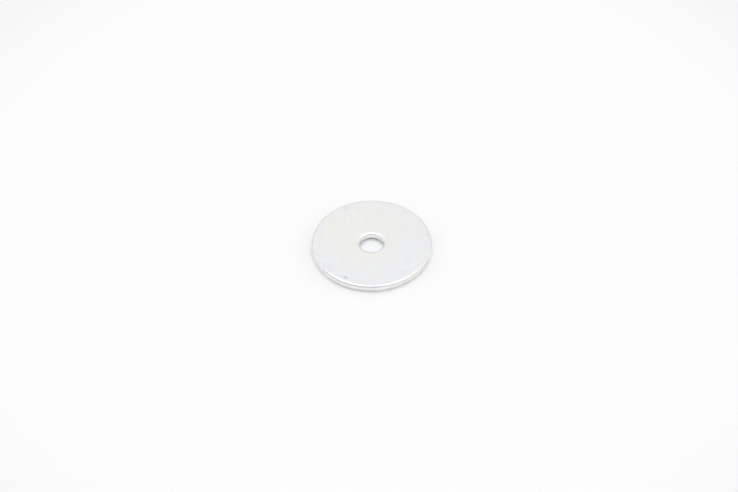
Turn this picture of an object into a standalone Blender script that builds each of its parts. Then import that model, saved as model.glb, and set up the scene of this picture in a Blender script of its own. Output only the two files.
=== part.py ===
"""A large-diameter flat washer, stamped from steel strip and zinc plated.

The disc lies with its underside on z = 0 and the axis of its hole on +Z. One turned section makes
the whole body. The rim and the hole were sheared in the same stroke, so both have the same sequence
from the top down: a roll, a burnished land, a tapered break and a tumbled foot.
"""

import math

import bmesh
import bpy

# Overall sizes, in metres
OUTSIDE_DIAMETER = 0.0300
HOLE_DIAMETER = 0.0061
THICKNESS = 0.0020

# Sheared edge round the rim
RIM_ROLL_WIDTH = 0.00043
RIM_ROLL_DEPTH = 0.00045
RIM_BREAK_HEIGHT = 0.00080
RIM_BREAK_SETBACK = 0.00010
RIM_FOOT_RADIUS = 0.00006

# Sheared edge in the hole
HOLE_ROLL_WIDTH = 0.00050
HOLE_ROLL_DEPTH = 0.00042
HOLE_BREAK_HEIGHT = 0.00070
HOLE_BREAK_SETBACK = 0.00014
HOLE_FOOT_RADIUS = 0.00005

# Fineness of the mesh
SEGMENTS_ROUND = 120
ROLL_STEPS = 8
BREAK_STEPS = 4
FOOT_STEPS = 3

# Plated surface
ZINC_COLOUR = (0.80, 0.81, 0.82, 1.0)
ZINC_ROUGHNESS = 0.32


def clear_scene():
    for old in list(bpy.data.objects):
        bpy.data.objects.remove(old, do_unlink=True)


def roll(width, depth):
    """Quarter ellipse that leaves the top face level and meets the land upright."""
    points = []
    for step in range(ROLL_STEPS + 1):
        angle = math.radians(90) * step / ROLL_STEPS
        setback = width * (1 - math.sin(angle))
        height = THICKNESS - depth * (1 - math.cos(angle))
        points.append((setback, height))
    return points


def tapered_break(start_height, end_height, end_setback):
    """Parabola that leaves the land upright and leans further back towards the foot."""
    points = []
    for step in range(BREAK_STEPS + 1):
        fraction = step / BREAK_STEPS
        setback = end_setback * fraction**2
        height = start_height + (end_height - start_height) * fraction
        points.append((setback, height))
    return points


def foot(radius, start_setback):
    """Quarter circle from the end of the break to the underside, without its first point."""
    points = []
    for step in range(1, FOOT_STEPS + 1):
        angle = math.radians(90) * step / FOOT_STEPS
        setback = start_setback + radius * (1 - math.cos(angle))
        height = radius * (1 - math.sin(angle))
        points.append((setback, height))
    return points


def sheared_edge(roll_width, roll_depth, break_height, break_setback, foot_radius):
    """Edge of the sheet from its top face down to its underside.

    Each point is a setback and a height. The setback runs from the land into the metal, so the
    same edge serves the rim and the hole.
    """
    return (
        roll(roll_width, roll_depth)
        + tapered_break(break_height, foot_radius, break_setback)
        + foot(foot_radius, break_setback)
    )


def washer_section():
    """Closed outline in the plane y = 0, as radius and height: down the rim, then up the hole."""
    rim_edge = sheared_edge(
        RIM_ROLL_WIDTH, RIM_ROLL_DEPTH, RIM_BREAK_HEIGHT, RIM_BREAK_SETBACK, RIM_FOOT_RADIUS
    )
    hole_edge = sheared_edge(
        HOLE_ROLL_WIDTH, HOLE_ROLL_DEPTH, HOLE_BREAK_HEIGHT, HOLE_BREAK_SETBACK, HOLE_FOOT_RADIUS
    )
    outline = [(OUTSIDE_DIAMETER / 2 - setback, height) for setback, height in rim_edge]
    outline += [(HOLE_DIAMETER / 2 + setback, height) for setback, height in reversed(hole_edge)]
    return outline


def spin_about_axis(name, outline):
    """Turn a closed outline once round the Z axis and return the mesh."""
    shape = bmesh.new()
    corners = [shape.verts.new((radius, 0, height)) for radius, height in outline]
    sides = [shape.edges.new((corners[i - 1], corners[i])) for i in range(len(corners))]
    bmesh.ops.spin(
        shape,
        geom=corners + sides,
        cent=(0, 0, 0),
        axis=(0, 0, 1),
        angle=math.tau,
        steps=SEGMENTS_ROUND,
        use_merge=True,
    )
    bmesh.ops.recalc_face_normals(shape, faces=shape.faces)
    mesh = bpy.data.meshes.new(name)
    shape.to_mesh(mesh)
    shape.free()
    return mesh


def zinc_plate():
    material = bpy.data.materials.new("zinc_plate")
    material.use_nodes = True
    shader = material.node_tree.nodes["Principled BSDF"]
    shader.inputs["Base Color"].default_value = ZINC_COLOUR
    shader.inputs["Metallic"].default_value = 1.0
    shader.inputs["Roughness"].default_value = ZINC_ROUGHNESS
    return material


def washer():
    mesh = spin_about_axis("washer", washer_section())
    mesh.shade_smooth()
    mesh.set_sharp_from_angle(angle=math.radians(40))
    mesh.materials.append(zinc_plate())
    disc = bpy.data.objects.new("washer", mesh)
    bpy.context.scene.collection.objects.link(disc)
    # The flat faces keep level normals up to the start of each roll
    level = disc.modifiers.new("Level faces", "WEIGHTED_NORMAL")
    level.keep_sharp = True
    return disc


clear_scene()
washer()
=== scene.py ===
import math

import bmesh
import bpy
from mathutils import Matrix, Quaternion, Vector


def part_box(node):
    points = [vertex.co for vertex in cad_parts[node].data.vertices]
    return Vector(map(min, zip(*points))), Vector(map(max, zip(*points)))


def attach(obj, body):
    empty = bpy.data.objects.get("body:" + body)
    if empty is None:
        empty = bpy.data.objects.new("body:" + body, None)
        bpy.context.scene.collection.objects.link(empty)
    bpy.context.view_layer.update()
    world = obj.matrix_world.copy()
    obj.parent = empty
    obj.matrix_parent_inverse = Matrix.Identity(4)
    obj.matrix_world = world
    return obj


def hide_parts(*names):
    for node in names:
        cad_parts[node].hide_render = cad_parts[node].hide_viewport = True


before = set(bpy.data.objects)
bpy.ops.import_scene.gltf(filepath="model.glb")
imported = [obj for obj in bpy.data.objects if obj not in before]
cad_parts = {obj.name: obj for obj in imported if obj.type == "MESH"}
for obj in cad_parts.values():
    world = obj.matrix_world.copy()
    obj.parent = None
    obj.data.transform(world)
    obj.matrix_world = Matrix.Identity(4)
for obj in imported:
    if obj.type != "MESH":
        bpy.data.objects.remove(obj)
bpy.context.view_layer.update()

millimetre = 0.001


class Wire:  # one socket, wrapped so that shader maths reads as plain sums
    def __init__(self, shop, socket):
        self.shop = shop
        self.socket = socket

    def other(self, out):
        return Wire(self.shop, self.socket.node.outputs[out])

    def maths(self, operation, *values):
        return self.shop.node("ShaderNodeMath", {"operation": operation}, dict(enumerate(values)))

    def __add__(self, other):
        return self.maths("ADD", self, other)

    def __radd__(self, other):
        return self.maths("ADD", other, self)

    def __sub__(self, other):
        return self.maths("SUBTRACT", self, other)

    def __rsub__(self, other):
        return self.maths("SUBTRACT", other, self)

    def __mul__(self, other):
        return self.maths("MULTIPLY", self, other)

    def __rmul__(self, other):
        return self.maths("MULTIPLY", other, self)

    def __truediv__(self, other):
        return self.maths("DIVIDE", self, other)

    def angleFromUpright(self):
        return self.maths("ARCCOSINE", self)

    def root(self):
        return self.maths("SQRT", self)

    def size(self):
        return self.maths("ABSOLUTE", self)

    def swing(self):  # a cloud runs from 0 to 1, and this is the same cloud about zero
        return self - 0.5

    def between(self, low, high):  # 0 at low, 1 at high, smooth in the middle, and low may be the larger
        settings = {"interpolation_type": "SMOOTHSTEP"}
        return self.shop.node("ShaderNodeMapRange", settings, {0: self, 1: low, 2: high})


class Shop:  # the bench where one node tree is put together
    def __init__(self, owner):
        owner.use_nodes = True
        self.tree = owner.node_tree
        self.tree.nodes.clear()

    def node(self, kind, settings=None, inputs=None, out=0):
        made = self.tree.nodes.new(kind)
        for name, value in (settings or {}).items():
            if name == "stops":
                self.setStops(made.color_ramp, value)
            else:
                setattr(made, name, value)
        for name, value in (inputs or {}).items():
            if isinstance(value, Wire):
                self.tree.links.new(value.socket, made.inputs[name])
            else:
                made.inputs[name].default_value = value
        return Wire(self, made.outputs[out]) if made.outputs else made

    def setStops(self, ramp, stops):
        while len(ramp.elements) > 1:
            ramp.elements.remove(ramp.elements[-1])
        for number, (place, shade) in enumerate(stops):
            element = ramp.elements[0] if number == 0 else ramp.elements.new(place)
            element.position = place
            element.color = (shade, shade, shade, 1)

    def mix(self, share, first, second):  # sockets 6, 7 and 2 are the ones for colours
        return self.node("ShaderNodeMix", {"data_type": "RGBA"}, {0: share, 6: first, 7: second}, out=2)

    def vector(self, operation, first, second):
        return self.node("ShaderNodeVectorMath", {"operation": operation}, {0: first, 1: second})

    def dim(self, colour, share):
        return self.node("ShaderNodeVectorMath", {"operation": "SCALE"}, {0: colour, "Scale": share})

    def inMillimetres(self):
        where = self.node("ShaderNodeTexCoord", out="Object")
        return self.vector("MULTIPLY", where, (1 / millimetre,) * 3)

    def turned(self, where, degrees, stretch):  # the same place, turned about Z and then stretched
        inputs = {"Vector": where, "Rotation": (0, 0, math.radians(degrees))}
        turn = self.node("ShaderNodeMapping", {"vector_type": "POINT"}, inputs)
        return self.vector("MULTIPLY", turn, stretch)

    def cloud(self, where, plan, out="Fac"):
        perMillimetre, detail, rough = plan
        inputs = {"Vector": where, "Scale": perMillimetre, "Detail": detail, "Roughness": rough}
        return self.node("ShaderNodeTexNoise", {"noise_dimensions": "3D"}, inputs, out)

    def speck(self, where, perMillimetre):  # distance to the nearest scattered point, as a share of a cell
        settings = {"voronoi_dimensions": "3D", "feature": "F1"}
        return self.node("ShaderNodeTexVoronoi", settings, {"Vector": where, "Scale": perMillimetre})

    def farFrom(self, where, point):
        return self.node("ShaderNodeVectorMath", {"operation": "DISTANCE"}, {0: where, 1: point}, "Value")

    def painted(self, name):  # a value kept on the mesh
        return self.node("ShaderNodeAttribute", {"attribute_name": name}, out="Fac")


# Light tent: a white dome with a ring of lamps round its top opening and a dim gap on the
# photographer's side. Each side's brightness is listed by degrees from overhead
tentPlan = {
    "brightest": 4.0,
    "cameraSide": {0: 0.1, 13: 0.1, 17: 2.3, 29: 1.9, 36: 1.0, 50: 0.55, 65: 0.60, 90: 0.42},
    "farSide": {0: 0.1, 13: 0.1, 17: 3.3, 27: 3.15, 35: 0.2, 45: 1.16, 55: 0.85, 66: 0.27, 78: 0.27, 90: 1.5},
    "leftAndRight": {
        0: 0.1, 13: 0.1, 17: 2.9, 24: 2.5, 31: 0.6, 46: 0.7, 56: 1.25, 66: 1.45, 78: 0.9, 90: 0.5,
    },
    "moreFromTheRight": 0.05,
    "seenWhite": (0.972, 0.972, 0.972, 1),  # the tent as the camera itself sees it
}

tablePlan = {
    "size": 4.0,  # in metres, as everything about the table and the camera is
    "white": 0.91,
    # painted shade: the table's colour greys towards the far corners, standing in for the light falling off
    # there
    "edgeWhite": 0.86,  # the far corners of the picture are a little greyer
    "middle": (0.0, 0.007, 0.0),
    "evenTo": 0.098,
    "greyFrom": 0.132,
    # painted light: the table is whiter where it shows through the washer's hole, lifting the shade there
    "paintedLightInHole": (0.944, 0.952, 0.970, 1),  # what shows through the hole is whiter in the photograph
    "holeTo": 0.0024,
    "openFrom": 0.0032,
}


def hangLightTent():
    world = bpy.data.worlds.new("lightTent")
    bpy.context.scene.world = world
    shop = Shop(world)
    aim = shop.node("ShaderNodeTexCoord")
    across = shop.node("ShaderNodeSeparateXYZ", {}, {0: aim})
    back, up = across.other("Y"), across.other("Z")
    fromOverhead = up.angleFromUpright() / math.radians(90)
    sides = []
    for side in ("cameraSide", "farSide", "leftAndRight"):
        stops = [(degrees / 90, light / tentPlan["brightest"]) for degrees, light in tentPlan[side].items()]
        sides.append(shop.node("ShaderNodeValToRGB", {"stops": stops}, {0: fromOverhead}))
    cameraSide, farSide, leftAndRight = sides
    flat = (across * across + back * back).root()
    farShare = back / flat * 0.5 + 0.5
    sideShare = across / flat * across / flat
    dome = shop.mix(sideShare, shop.mix(farShare, cameraSide, farSide), leftAndRight)
    strength = (across * tentPlan["moreFromTheRight"] + 1) * tentPlan["brightest"]
    lit = shop.node("ShaderNodeBackground", {}, {"Color": dome, "Strength": strength})
    seen = shop.node("ShaderNodeBackground", {}, {"Color": tentPlan["seenWhite"], "Strength": 1.0})
    eye = shop.node("ShaderNodeLightPath", out="Is Camera Ray")
    both = shop.node("ShaderNodeMixShader", {}, {0: eye, 1: lit, 2: seen})
    shop.node("ShaderNodeOutputWorld", {}, {0: both})
    print("light tent hung")


def layTable():
    bpy.ops.mesh.primitive_plane_add(size=tablePlan["size"])
    table = bpy.context.object
    table.name = "table"
    material = bpy.data.materials.new("whiteTable")
    shop = Shop(material)
    where = shop.node("ShaderNodeTexCoord", out="Object")
    # painted shade: the table greys towards the far corners
    grey = shop.farFrom(where, tablePlan["middle"]).between(tablePlan["evenTo"], tablePlan["greyFrom"])
    middle = (tablePlan["white"],) * 3 + (1,)
    edge = (tablePlan["edgeWhite"],) * 3 + (1,)
    # painted light: the table is whiter within reach of the hole
    fromHole = shop.farFrom(where, (0, 0, 0)).between(tablePlan["holeTo"], tablePlan["openFrom"])
    middle = shop.mix(fromHole, tablePlan["paintedLightInHole"], middle)
    inputs = {"Base Color": shop.mix(grey, middle, edge), "Roughness": 1.0, "Specular IOR Level": 0.0}
    paint = shop.node("ShaderNodeBsdfPrincipled", {}, inputs)
    shop.node("ShaderNodeOutputMaterial", {}, {0: paint})
    table.data.materials.append(material)
    print("table laid")


# Camera: the photograph looks down on the disc, a hair off level
cameraPlan = {
    "aim": (-0.00068, 0.00076, 0.0),
    "elevation": 46.35,
    "distance": 0.70,
    "roll": -0.62,
    "lens": 136.2,
    "sensorWidth": 36,
    "nearest": 0.01,
    "farthest": 20,
}


def setCamera():
    elevation = math.radians(cameraPlan["elevation"])
    back = Vector((0, -math.cos(elevation), math.sin(elevation)))
    bpy.ops.object.camera_add()
    camera = bpy.context.object
    camera.name = "photoCamera"
    camera.location = Vector(cameraPlan["aim"]) + back * cameraPlan["distance"]
    camera.rotation_mode = "QUATERNION"
    level = (-back).to_track_quat("-Z", "Y")
    camera.rotation_quaternion = level @ Quaternion((0, 0, 1), math.radians(cameraPlan["roll"]))
    camera.data.sensor_width = cameraPlan["sensorWidth"]
    camera.data.lens = cameraPlan["lens"]
    camera.data.clip_start = cameraPlan["nearest"]
    camera.data.clip_end = cameraPlan["farthest"]
    bpy.context.scene.camera = camera
    bpy.context.scene.view_settings.view_transform = "Standard"
    print("camera set")


# The washer, in millimetres: an upright slice through the metal, spun once round the hole's axis
washerPlan = {
    "turns": 720,  # steps round the disc
    "rim": {
        "rollWidth": 0.43,
        "rollDepth": 0.45,
        "rollSteps": 16,
        "breakHeight": 0.80,
        "breakSetback": 0.10,
        "footRadius": 0.06,
        "wallCuts": 30,
    },
    "hole": {
        "rollWidth": 0.50,
        "rollDepth": 0.42,
        "rollSteps": 12,
        "breakHeight": 0.70,
        "breakSetback": 0.14,
        "footRadius": 0.05,
        "wallCuts": 20,
    },
    "footSteps": 3,
    "topCuts": 32,
    "undersideCuts": 10,
}

hair = 0.001  # points closer together than this, in millimetres, are in one place


def pick(mesh, kind, wanted):
    # edit mode selection by place: wanted is asked about each point's x and z in millimetres
    bpy.ops.mesh.select_all(action="DESELECT")
    bpy.ops.mesh.select_mode(type="VERT")
    shape = bmesh.from_edit_mesh(mesh)
    for point in shape.verts:
        point.select = wanted(point.co.x / millimetre, point.co.z / millimetre)
    shape.select_flush_mode()
    if kind == "EDGE":
        bpy.ops.mesh.select_mode(type="EDGE")
    bmesh.update_edit_mesh(mesh)


def roundCorner(mesh, corner, width, depth, steps):
    pick(mesh, "VERT", lambda x, z: math.hypot(x - corner[0], z - corner[1]) < hair)
    bpy.ops.mesh.bevel(offset=width * millimetre, segments=steps, affect="VERTICES", profile=0.5)
    centre = (corner[0] * millimetre, 0, corner[1] * millimetre)
    bpy.ops.transform.resize(value=(1, 1, depth / width), center_override=centre)


def cutFlatFace(mesh, level, cuts):
    # rings along a flat face, closest together at its two ends, where the edges begin to turn
    pick(mesh, "EDGE", lambda x, z: abs(z - level) < hair)
    bpy.ops.mesh.subdivide(number_cuts=cuts)
    places = sorted(p.co.x / millimetre for p in bmesh.from_edit_mesh(mesh).verts if p.select)
    start, end = places[0], places[-1]
    moves = []
    for ring, even in enumerate(places[1:-1], start=1):
        bunched = start + (end - start) * (1 - math.cos(math.pi * ring / (cuts + 1))) / 2
        moves.append((even, bunched))
    inner = [move for move in moves if move[1] <= move[0]]
    outer = [move for move in reversed(moves) if move[1] > move[0]]
    for even, bunched in inner + outer:  # from each end inwards, so that no ring meets another
        pick(mesh, "VERT", lambda x, z: abs(x - even) < hair and abs(z - level) < hair)
        bpy.ops.transform.translate(value=((bunched - even) * millimetre, 0, 0))


def shearWall(mesh, plan, radius, inward, thick):
    # an upright wall between roll and foot: rows of points, and the break leans away below the land
    low = plan["footRadius"]
    high = thick - plan["rollDepth"]
    pick(mesh, "EDGE", lambda x, z: abs(x - radius) < hair and low - hair < z < high + hair)
    bpy.ops.mesh.subdivide(number_cuts=plan["wallCuts"])
    shape = bmesh.from_edit_mesh(mesh)
    heights = sorted({round(p.co.z / millimetre, 4) for p in shape.verts if p.select})
    for height in heights:
        if height < plan["breakHeight"]:
            lean = ((plan["breakHeight"] - height) / (plan["breakHeight"] - low)) ** 2
            pick(mesh, "VERT", lambda x, z: abs(x - radius) < hair and abs(z - height) < hair)
            bpy.ops.transform.translate(value=(inward * lean * plan["breakSetback"] * millimetre, 0, 0))
    # the foot goes back with the end of the break
    footInside = radius + inward * plan["footRadius"]
    near = min(radius, footInside) - hair
    far = max(radius, footInside) + hair
    pick(mesh, "VERT", lambda x, z: near < x < far and z < low - hair)
    bpy.ops.transform.translate(value=(inward * plan["breakSetback"] * millimetre, 0, 0))


def turnWasher():
    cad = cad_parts["washer"]
    low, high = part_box("washer")
    outer = high.x / millimetre
    thick = high.z / millimetre
    hole = min(math.hypot(p.co.x, p.co.y) for p in cad.data.vertices) / millimetre
    bpy.ops.object.select_all(action="DESELECT")
    middle = ((outer + hole) / 2 * millimetre, 0, thick / 2 * millimetre)
    bpy.ops.mesh.primitive_plane_add(size=millimetre, location=middle, rotation=(math.radians(90), 0, 0))
    disc = bpy.context.object
    disc.name = "platedWasher"
    disc.scale = (outer - hole, thick, 1)
    bpy.ops.object.transform_apply(location=True, rotation=True, scale=True)
    mesh = disc.data
    bpy.ops.object.mode_set(mode="EDIT")
    rim, bore = washerPlan["rim"], washerPlan["hole"]
    for plan, radius in ((rim, outer), (bore, hole)):
        roundCorner(mesh, (radius, thick), plan["rollWidth"], plan["rollDepth"], plan["rollSteps"])
        roundCorner(mesh, (radius, 0), plan["footRadius"], plan["footRadius"], washerPlan["footSteps"])
    bpy.ops.mesh.select_all(action="SELECT")
    bpy.ops.mesh.delete(type="ONLY_FACE")
    cutFlatFace(mesh, thick, washerPlan["topCuts"])
    cutFlatFace(mesh, 0, washerPlan["undersideCuts"])
    shearWall(mesh, rim, outer, -1, thick)
    shearWall(mesh, bore, hole, 1, thick)
    bpy.ops.mesh.select_mode(type="VERT")
    bpy.ops.mesh.select_all(action="SELECT")
    bpy.ops.mesh.spin(steps=washerPlan["turns"], angle=math.tau, center=(0, 0, 0), axis=(0, 0, 1))
    bpy.ops.mesh.select_all(action="SELECT")
    bpy.ops.mesh.remove_doubles(threshold=2 * hair * millimetre)
    bpy.ops.mesh.normals_make_consistent(inside=False)
    bpy.ops.object.mode_set(mode="OBJECT")
    print("washer turned:", len(mesh.vertices), "points")
    return disc, outer, hole, thick


def ease(value, low, high):
    share = min(max((value - low) / (high - low), 0), 1)
    return share * share * (3 - 2 * share)


# How the parts of the edges run into each other, in millimetres
zonePlan = {
    "names": ("roll", "lip", "land", "fracture", "border", "foot", "face"),
    "seenInTheFinish": ("roll", "lip", "land", "fracture", "foot"),
    "landToBreak": 0.03,
    "aboveFoot": 0.08,
    "pastRoll": 0.02,
    "rollInFull": 0.6,  # as a share of the roll's width
    "lipAboveLand": 0.08,
    "lipInFull": 0.06,
    "lipGone": 0.24,
    "faceIn": 1.5,
    "wallSlack": 0.01,
}


def markZones(disc, outer, hole, thick):
    # the parts of the two sheared edges, kept as groups for the dents and as values for the finish
    mesh = disc.data
    zones = {name: [0.0] * len(mesh.vertices) for name in zonePlan["names"]}
    for number, point in enumerate(mesh.vertices):
        radius = math.hypot(point.co.x, point.co.y) / millimetre
        height = point.co.z / millimetre
        atRim = radius > (outer + hole) / 2
        plan = washerPlan["rim"] if atRim else washerPlan["hole"]
        setback = abs(radius - (outer if atRim else hole))
        landTop = thick - plan["rollDepth"]
        wallDepth = plan["breakSetback"] + plan["footRadius"]
        if setback < wallDepth + zonePlan["wallSlack"] and height < landTop + hair:
            blur = zonePlan["landToBreak"]
            aboveBreak = ease(height, plan["breakHeight"] - blur, plan["breakHeight"] + blur)
            zones["land"][number] = aboveBreak
            zones["fracture"][number] = 1 - aboveBreak
            falling = ease(height, landTop, plan["breakHeight"])
            rising = ease(height, plan["footRadius"], plan["breakHeight"])
            zones["border"][number] = min(falling, rising)
            footTop = plan["footRadius"] + zonePlan["aboveFoot"]
            zones["foot"][number] = 1 - ease(height, plan["footRadius"], footTop)
        elif height > hair:
            rollStart = plan["rollWidth"] + zonePlan["pastRoll"]
            zones["roll"][number] = ease(setback, rollStart, plan["rollWidth"] * zonePlan["rollInFull"])
        if setback < plan["rollWidth"]:
            fromLip = abs(height - landTop - zonePlan["lipAboveLand"])
            zones["lip"][number] = 1 - ease(fromLip, zonePlan["lipInFull"], zonePlan["lipGone"])
        wayIn = max(plan["rollWidth"], wallDepth)
        if height > thick / 2:  # the underside stays flat
            zones["face"][number] = ease(setback, wayIn, wayIn + zonePlan["faceIn"])
    for name, values in zones.items():
        group = disc.vertex_groups.new(name=name)
        for number, value in enumerate(values):
            if value > 0:
                group.add([number], value, "REPLACE")
    for name in zonePlan["seenInTheFinish"]:
        kept = mesh.attributes.new(name + "Share", "FLOAT", "POINT")
        kept.data.foreach_set("value", zones[name])
    print("edges marked out")


# Unevenness in the metal, in millimetres: zone, direction, height from hollow to crest, size of one bump,
# depth of detail, and the share of the height that goes inwards
unevenness = {
    "wanderingBorder": ("border", "Z", 0.50, (1.5, 1.5, 40.0), 3, 0.5),
    "dragLines": ("land", "NORMAL", 0.022, (0.28, 0.28, 3.0), 2, 0.5),
    "tornGrain": ("fracture", "NORMAL", 0.055, (0.20, 0.20, 0.30), 3, 0.5),
    "softRoll": ("roll", "NORMAL", 0.022, (1.9, 1.9, 1.9), 2, 0.5),
    "raggedFoot": ("foot", "NORMAL", 0.030, (0.6, 0.6, 0.6), 2, 1.0),
    "strip": ("face", "Z", 0.010, (4.5, 4.5, 4.5), 1, 0.5),
}


def roughen(disc, name, plan):
    zone, direction, height, grain, detail, inwards = plan
    texture = bpy.data.textures.new(name, "CLOUDS")
    texture.noise_scale = 1.0
    texture.noise_depth = detail
    bpy.ops.object.empty_add()
    gauge = bpy.context.object
    gauge.scale = [size * millimetre for size in grain]
    bpy.context.view_layer.update()
    push = disc.modifiers.new(name, "DISPLACE")
    push.texture = texture
    push.texture_coords = "OBJECT"
    push.texture_coords_object = gauge
    push.direction = direction
    push.strength = height * millimetre
    push.mid_level = inwards
    push.vertex_group = zone
    bpy.ops.object.select_all(action="DESELECT")
    disc.select_set(True)
    bpy.context.view_layer.objects.active = disc
    bpy.ops.object.modifier_apply(modifier=name)
    bpy.data.objects.remove(gauge)


# Knocks from the tumbling barrel, in millimetres: x, y, z, width, push towards the axis and push down
knocks = {
    "faceFrontLeft": (-6.6, -11.9, 2.0, 0.9, 0.0, 0.022),
    "faceFrontLeftOuter": (-7.4, -11.9, 2.0, 0.6, 0.0, 0.015),
    "faceRight": (11.4, -7.9, 2.0, 0.55, 0.0, 0.025),
    "faceRearLeft": (-6.3, 12.2, 2.0, 1.0, 0.0, 0.010),
    "faceLeft": (-13.3, 1.6, 2.0, 0.6, 0.0, 0.010),
    "rollFrontLeft": (-9.6, -11.4, 1.72, 0.7, 0.045, 0.045),
    "rollFrontLeftLower": (-8.9, -12.0, 1.62, 0.5, 0.045, 0.030),
    "rollFront": (-6.3, -13.5, 1.66, 0.8, 0.050, 0.040),
    "rollFrontInner": (-4.6, -14.2, 1.60, 0.5, 0.040, 0.025),
    "rollFrontRight": (5.9, -13.7, 1.66, 0.6, 0.040, 0.030),
    "rollRight": (13.6, -6.1, 1.70, 0.8, 0.040, 0.035),
    "rollRear": (4.2, 14.3, 1.68, 0.7, 0.045, 0.035),
    "rollRearLeft": (-11.2, 9.8, 1.70, 0.9, 0.040, 0.040),
    "landRear": (7.9, 12.7, 1.20, 0.5, 0.035, 0.0),
    "landLeft": (-14.7, -2.9, 1.15, 0.5, 0.040, 0.0),
}


def knock(disc):
    bpy.ops.object.mode_set(mode="EDIT")
    bpy.ops.mesh.select_mode(type="VERT")
    for across, back, up, width, inward, down in knocks.values():
        bpy.ops.mesh.select_all(action="DESELECT")
        shape = bmesh.from_edit_mesh(disc.data)
        spot = Vector((across, back, up)) * millimetre
        nearest = min(shape.verts, key=lambda point: (point.co - spot).length)
        nearest.select = True
        shape.select_flush_mode()
        bmesh.update_edit_mesh(disc.data)
        towardsAxis = Vector((-across, -back, 0)).normalized() * inward
        bpy.ops.transform.translate(
            value=(towardsAxis - Vector((0, 0, down))) * millimetre,
            use_proportional_edit=True,
            proportional_edit_falloff="SMOOTH",
            proportional_size=width / 2 * millimetre,
        )
    bpy.ops.object.mode_set(mode="OBJECT")
    print("washer knocked about")


# Zinc plate, in millimetres. Colours are warm in the middle and cool towards the rim
zincPlan = {
    "warm": (0.882, 0.880, 0.860, 1),
    "cool": (0.869, 0.875, 0.894, 1),
    "green": (0.862, 0.880, 0.852, 1),
    "pink": (0.888, 0.872, 0.882, 1),
    "olive": (0.872, 0.880, 0.815, 1),
    "sage": (0.868, 0.887, 0.868, 1),
    "teal": (0.815, 0.882, 0.875, 1),
    "sky": (0.845, 0.887, 0.922, 1),
    "lilac": (0.855, 0.858, 0.922, 1),
    "wall": (0.930, 0.934, 0.923, 1),
    "warmMiddle": (-2.5, 3.0, 2.0),
    "wander": 9.0,  # how far the border between warm and cool wanders
    "patchTint": 0.5,  # how strongly the green and pink patches show
    "raggedness": 0.9,  # how far the outlines of marks and tints are shaken
    "grainDegrees": 1.5,  # the strip was rolled almost straight away from the camera
    "scratchDegrees": (38, -64, 83),
    "streakLean": -0.05,  # streaks on the wall lean as they rise
    "tornWander": 0.7,  # how raggedly the torn part begins
    "scuffedEdge": (-7.5, -12.9, 1.6),
    "moreChips": 0.10,
    # painted shadow: the foot of the wall is darkened most round here, standing in for the contact shadow
    "paintedFootShadow": (-2.0, -15.0, 0.0),  # the foot looks darkest round here
}

# Cloud patterns: bumps per millimetre, detail and roughness
clouds = {
    "grain": (1.0, 4.0, 0.65),
    "fineGrain": (1.0, 2.0, 0.6),
    "bands": (1.0, 1.0, 0.5),
    "patches": (0.38, 3.0, 0.55),
    "frost": (5.0, 3.0, 0.6),
    "speckGroups": (0.8, 1.0, 0.5),
    "pitGroups": (0.5, 2.0, 0.5),
    "scratchGroups": (0.5, 2.0, 0.5),
    "wander": (0.22, 3.0, 0.6),
    "hues": (0.45, 2.0, 0.55),
    "ragged": (2.6, 3.0, 0.6),
    "smudges": (0.9, 4.0, 0.65),
    "tornBorder": (4.0, 2.0, 0.6),
    "drag": (1.0, 3.0, 0.65),
    "streaks": (1.0, 2.0, 0.6),
    "crumbs": (9.0, 3.0, 0.7),
    "chips": (1.9, 4.0, 0.65),
}

# Patterns with long bumps are squeezed this much along x, y and z
squeezes = {
    "grain": (3.6, 0.25, 3.6),
    "fineGrain": (22.0, 0.8, 22.0),
    "bands": (1.3, 0.10, 1.3),
    "scratch": (0.25, 5.0, 5.0),
    "drag": (7.0, 7.0, 0.5),
    "streaks": (1.6, 1.6, 0.25),
}

spotsPerMillimetre = {"speck": 0.9, "pit": 2.7, "scratch": 1.0}

# Where each pattern or place begins and where it is in full
ramps = {
    "inHole": (6.0, 4.0),
    "cool": (7.0, 13.5),
    "green": (0.52, 0.64),
    "pink": (0.55, 0.67),
    "speck": (0.16, 0.04),
    "speckGroups": (0.45, 0.6),
    "pit": (0.13, 0.05),
    "pitGroups": (0.5, 0.6),
    "scratch": (0.16, 0.06),
    "scratchGroups": (0.45, 0.6),
    "mark": (1.25, 0.35),
    "smudges": (0.54, 0.66),
    "nearRim": (12.0, 14.0),
    "torn": (0.35, 0.65),
    "scuffedEdge": (8.0, 3.0),
    "chips": (0.58, 0.68),
    "paintedFootShadow": (12.0, 7.0),
}

# How much each pattern changes the brightness, as a share
shades = {
    "grain": 0.07,
    "bands": 0.03,
    "patches": 0.05,
    "fineGrain": 0.03,
    "smudges": 0.06,
    "speck": 0.05,
    "pit": 0.06,
    "marks": 0.7,
    "frostInMarks": 0.6,
    # partly burnished metal and partly a painted highlight: the rolls' colour is lifted where the lamps'
    # highlight falls
    "polish": 0.06,  # the tumbled rolls are brighter
    # painted shade: the dark line just under the rim's highlight
    "lip": 0.20,
    "chips": 0.32,
    # painted light: the lip in the hole is lightened against its darker reflection
    "paintedLightOnLipInHole": 0.06,  # there the lip is brighter
    "drag": 0.10,
    "streaks": 0.28,
    "torn": 0.01,
    # painted shade: the torn part of the hole's wall is darkened where shade gathers at its foot
    "paintedShadeOnTornInHole": 0.27,
    "crumbs": 0.18,
    # painted shadow at the foot of the rim
    "paintedFootShadow": 0.35,
}

# Roughness of the plate, and what each pattern adds to it
roughnesses = {
    "plate": 0.30,
    "grain": 0.06,
    "frost": 0.04,
    "marks": 0.5,
    "land": 0.06,
    "torn": 0.30,
    "chips": 0.2,
    "polish": 0.06,  # taken off on the rim's roll
}

# Height of each pattern as bump, in millimetres
reliefs = {
    "grain": 0.008,
    "fineGrain": 0.0014,
    "frost": 0.0035,
    "patches": 0.010,
    "scratch": 0.002,
    "speck": 0.006,
    "pit": 0.002,
    "marks": 0.01,
    "drag": 0.012,
    "crumbs": 0.055,
    "frostOnRoll": 0.003,
}

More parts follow.
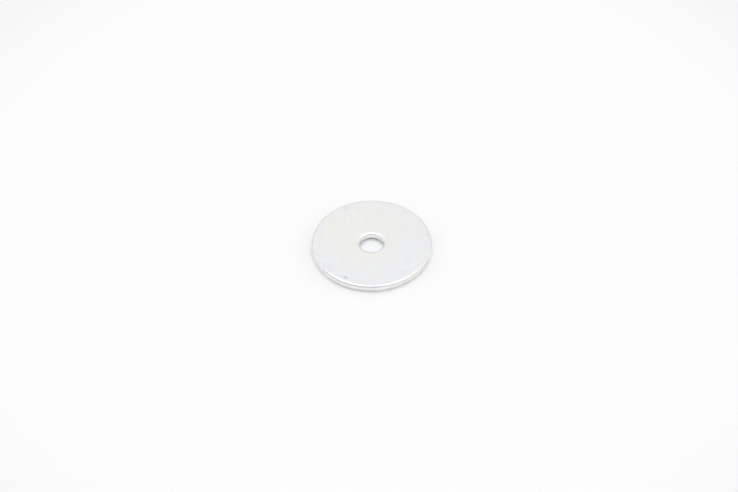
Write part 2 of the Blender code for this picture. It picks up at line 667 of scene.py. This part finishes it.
# Dull marks on the top face: x, y, length, width, direction in degrees, darkness
marks = {
    "scuffByFrontRim": (-6.65, -11.7, 1.8, 0.62, -27, 0.30),
    "scuffTail": (-8.2, -10.9, 2.2, 0.25, -36, 0.15),
    "dashOnFrontRim": (-5.2, -12.9, 1.4, 0.22, -21, 0.12),
    "nickByRightRim": (11.4, -7.85, 0.75, 0.45, 35, 0.24),
    "nickTail": (12.2, -6.9, 1.0, 0.2, 50, 0.10),
    "smudgeByRearRim": (-6.4, 12.2, 1.8, 0.80, 27, 0.10),
    "smudgeByRightRim": (13.2, -3.2, 1.3, 0.35, 72, 0.06),
    "leftRim": (-13.3, 1.6, 0.5, 0.4, 80, 0.06),
    "leftSpot": (-11.9, 4.9, 0.7, 0.5, 10, 0.035),
    "upperLeft": (-6.6, 8.2, 0.6, 0.45, 60, 0.035),
    "byHoleUpper": (-4.75, 5.1, 0.5, 0.4, 0, 0.05),
    "byHoleLeft": (-8.5, -0.25, 0.5, 0.4, 20, 0.04),
    "byHoleRight": (5.65, 1.5, 0.45, 0.35, 90, 0.05),
    "lowerLeft": (-10.5, -7.7, 1.3, 0.8, -40, 0.04),
    "upperRight": (11.8, 6.7, 0.6, 0.5, 50, 0.03),
    "lowerRight": (11.9, -5.4, 0.5, 0.4, 60, 0.035),
    "belowHole": (2.75, -3.95, 0.6, 0.45, 0, 0.03),
}

# Tints in the plating on the top face: x, y, length, width, direction in degrees, colour and share
tints = {
    "warmByRight": (5.4, 5.0, 7.0, 10.0, 0, "warm", 0.9),
    "warmByFront": (-4.0, -7.0, 6.0, 6.0, 0, "warm", 0.8),
    "coolByLeft": (-11.5, -5.5, 6.0, 6.0, 0, "cool", 0.8),
    "upperLeft": (-9.5, 6.6, 3.4, 3.0, 20, "olive", 0.9),
    "besideHole": (-5.2, 5.2, 5.0, 4.0, 60, "sage", 0.9),
    "aboveHole": (-2.4, 7.3, 1.8, 1.6, 0, "sage", 1.0),
    "rear": (1.8, 11.1, 5.4, 3.2, 0, "sage", 0.9),
    "right": (9.6, 4.5, 8.0, 2.6, 90, "sage", 0.8),
    "left": (-13.0, 1.0, 4.0, 2.0, 90, "sage", 0.7),
    "rightOfHole": (6.1, 0.7, 2.6, 2.0, 30, "olive", 0.5),
    "leftOfHole": (-8.5, -0.3, 1.6, 1.4, 0, "olive", 0.7),
    "belowHole": (1.8, -4.5, 3.0, 1.8, 15, "olive", 0.7),
    "frontLeft": (-4.5, -12.4, 2.4, 1.3, -20, "teal", 0.7),
    "front": (-0.2, -13.5, 1.8, 1.0, 0, "lilac", 0.8),
    "frontRight": (5.1, -11.8, 2.2, 1.6, 20, "sky", 0.9),
    "rightByFront": (7.8, -10.4, 2.4, 1.8, 35, "lilac", 0.9),
    "leftByFront": (-13.2, -4.5, 2.0, 1.4, 70, "lilac", 0.9),
}


def markCover(shop, where, plan, thick):
    across, back, long, wide, degrees, darkness = plan
    fromMark = shop.vector("SUBTRACT", where, (across, back, thick))
    stretched = shop.turned(fromMark, -degrees, (2 / long, 2 / wide, 2 / wide))
    reach = shop.node("ShaderNodeVectorMath", {"operation": "LENGTH"}, {0: stretched}, out="Value")
    return reach.between(*ramps["mark"]) * darkness


def scatter(shop, where, name):
    # spots of one kind, which keep together in groups
    spots = shop.speck(where, spotsPerMillimetre[name]).between(*ramps[name])
    return spots * shop.cloud(where, clouds[name + "Groups"]).between(*ramps[name + "Groups"])


def plateWithZinc(disc, thick):
    material = bpy.data.materials.new("zincPlate")
    shop = Shop(material)
    where = shop.inMillimetres()
    roll, lip, land, fracture, foot = (shop.painted(name + "Share") for name in zonePlan["seenInTheFinish"])
    fromAxis = shop.farFrom(shop.vector("MULTIPLY", where, (1, 1, 0)), (0, 0, 0))
    height = shop.node("ShaderNodeSeparateXYZ", {}, {0: where}, out="Z")
    inHole = fromAxis.between(*ramps["inHole"])

    # strip grain along the rolling direction, slower patches in the plating, and frost and specks all over
    along = zincPlan["grainDegrees"]
    grain = shop.cloud(shop.turned(where, along, squeezes["grain"]), clouds["grain"])
    fineGrain = shop.cloud(shop.turned(where, along, squeezes["fineGrain"]), clouds["fineGrain"])
    bands = shop.cloud(shop.turned(where, along, squeezes["bands"]), clouds["bands"])
    patches = shop.cloud(where, clouds["patches"])
    frost = shop.cloud(where, clouds["frost"])
    speck = scatter(shop, where, "speck")
    pit = scatter(shop, where, "pit")

    # colour
    wander = shop.cloud(where, clouds["wander"]).swing() * zincPlan["wander"]
    fromWarm = shop.farFrom(where, zincPlan["warmMiddle"]) + wander
    colour = shop.mix(fromWarm.between(*ramps["cool"]), zincPlan["warm"], zincPlan["cool"])
    hues = shop.node("ShaderNodeSeparateXYZ", {}, {0: shop.cloud(where, clouds["hues"], out="Color")})
    green = hues.between(*ramps["green"]) * zincPlan["patchTint"]
    pink = hues.other("Y").between(*ramps["pink"]) * zincPlan["patchTint"]
    colour = shop.mix(green, colour, zincPlan["green"])
    colour = shop.mix(pink, colour, zincPlan["pink"])
    reach = zincPlan["raggedness"]
    ragged = shop.vector("MULTIPLY", shop.cloud(where, clouds["ragged"], out="Color"), (reach,) * 3)
    shaken = shop.vector("ADD", where, shop.vector("SUBTRACT", ragged, (reach / 2,) * 3))
    for *place, name, share in tints.values():
        colour = shop.mix(markCover(shop, shaken, (*place, share), thick), colour, zincPlan[name])
    bright = 1 + grain.swing() * shades["grain"] + bands.swing() * shades["bands"]
    bright = bright + patches.swing() * shades["patches"] + fineGrain.swing() * shades["fineGrain"]

    # marks, with ragged outlines, and smudges just inside the rim
    smudges = shop.cloud(where, clouds["smudges"]).between(*ramps["smudges"])
    dull = smudges * fromAxis.between(*ramps["nearRim"]) * shades["smudges"]
    dull = dull + speck * shades["speck"] + pit * shades["pit"]
    for plan in marks.values():
        dull = dull + markCover(shop, shaken, plan, thick)
    bright = bright * (1 - dull * (shades["marks"] + frost * shades["frostInMarks"]))

    # edges: a burnished roll, lifted in part as a painted highlight, a painted shade line where the land
    # begins, with chips along it and painted light on it in the hole, drag lines, the torn part below,
    # darkened in the hole as painted shade, and a painted shadow at the foot
    wall = land + fracture
    edge = (roll + wall).between(0, 1)
    colour = shop.mix(wall.between(0, 1), colour, zincPlan["wall"])
    tornBorder = shop.cloud(where, clouds["tornBorder"]).swing() * zincPlan["tornWander"]
    torn = (fracture + tornBorder).between(*ramps["torn"])
    drag = shop.cloud(shop.vector("MULTIPLY", where, squeezes["drag"]), clouds["drag"])
    acrossWall = shop.dim(shop.vector("CROSS_PRODUCT", (0, 0, 1), where), zincPlan["streakLean"] * height)
    leaning = shop.vector("ADD", where, acrossWall)
    streaks = shop.cloud(shop.vector("MULTIPLY", leaning, squeezes["streaks"]), clouds["streaks"])
    crumbs = shop.cloud(where, clouds["crumbs"])
    scuffed = shop.farFrom(where, zincPlan["scuffedEdge"]).between(*ramps["scuffedEdge"])
    chips = (shop.cloud(where, clouds["chips"]) + scuffed * zincPlan["moreChips"]).between(*ramps["chips"])
    # painted shade along the rim's lip, with real chips along it, and painted light on the lip in the hole
    paintedLipShadingAndChips = (1 - inHole) * (shades["lip"] + chips * shades["chips"]) - inHole * shades["paintedLightOnLipInHole"]
    bright = bright * (1 + roll * shades["polish"] - lip * paintedLipShadingAndChips)
    lines = drag.swing().size() * shades["drag"] + streaks.swing() * shades["streaks"]
    bright = bright * (1 - wall * lines)
    # the torn part is a little darker, with crumbs, and in the hole it is darkened further as painted shade
    tornDarkAndPaintedHoleShade = shades["torn"] + inHole * shades["paintedShadeOnTornInHole"] + crumbs * shades["crumbs"]
    bright = bright * (1 - torn * tornDarkAndPaintedHoleShade)
    # painted shadow at the foot of the rim, darkest at the front
    paintedFootShadowShare = shop.farFrom(where, zincPlan["paintedFootShadow"]).between(*ramps["paintedFootShadow"])
    bright = bright * (1 - foot * paintedFootShadowShare * shades["paintedFootShadow"])

    roughness = roughnesses["plate"] + grain.swing() * roughnesses["grain"]
    roughness = roughness + frost.swing() * roughnesses["frost"] + dull * roughnesses["marks"]
    roughness = roughness + land * roughnesses["land"] + torn * roughnesses["torn"]
    roughness = roughness + lip * chips * roughnesses["chips"] - roll * (1 - inHole) * roughnesses["polish"]

    # relief, in millimetres
    scratches = 0
    for degrees in zincPlan["scratchDegrees"]:
        lengthwise = shop.turned(where, degrees, squeezes["scratch"])
        scratch = shop.speck(lengthwise, spotsPerMillimetre["scratch"])
        scratches = scratches + scratch.between(*ramps["scratch"])
    scratches = scratches * shop.cloud(where, clouds["scratchGroups"]).between(*ramps["scratchGroups"])
    relief = grain * reliefs["grain"] + fineGrain * reliefs["fineGrain"] + frost * reliefs["frost"]
    relief = relief * (1 - edge) + patches * reliefs["patches"]
    relief = relief - scratches * reliefs["scratch"] - speck * reliefs["speck"]
    relief = relief - pit * reliefs["pit"] - dull * reliefs["marks"]
    relief = relief + drag * land * reliefs["drag"] + crumbs * torn * reliefs["crumbs"]
    relief = relief + frost * roll * reliefs["frostOnRoll"]
    bump = shop.node("ShaderNodeBump", {}, {"Strength": 1.0, "Distance": millimetre, "Height": relief})

    inputs = {"Base Color": shop.dim(colour, bright), "Metallic": 1.0, "Roughness": roughness, "Normal": bump}
    plate = shop.node("ShaderNodeBsdfPrincipled", {}, inputs)
    shop.node("ShaderNodeOutputMaterial", {}, {0: plate})
    disc.data.materials.append(material)
    print("zinc plated")


hangLightTent()
layTable()
setCamera()
disc, outer, hole, thick = turnWasher()
markZones(disc, outer, hole, thick)
for name, plan in unevenness.items():
    roughen(disc, name, plan)
knock(disc)
bpy.ops.object.shade_smooth()
plateWithZinc(disc, thick)
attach(disc, "root")
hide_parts("washer")
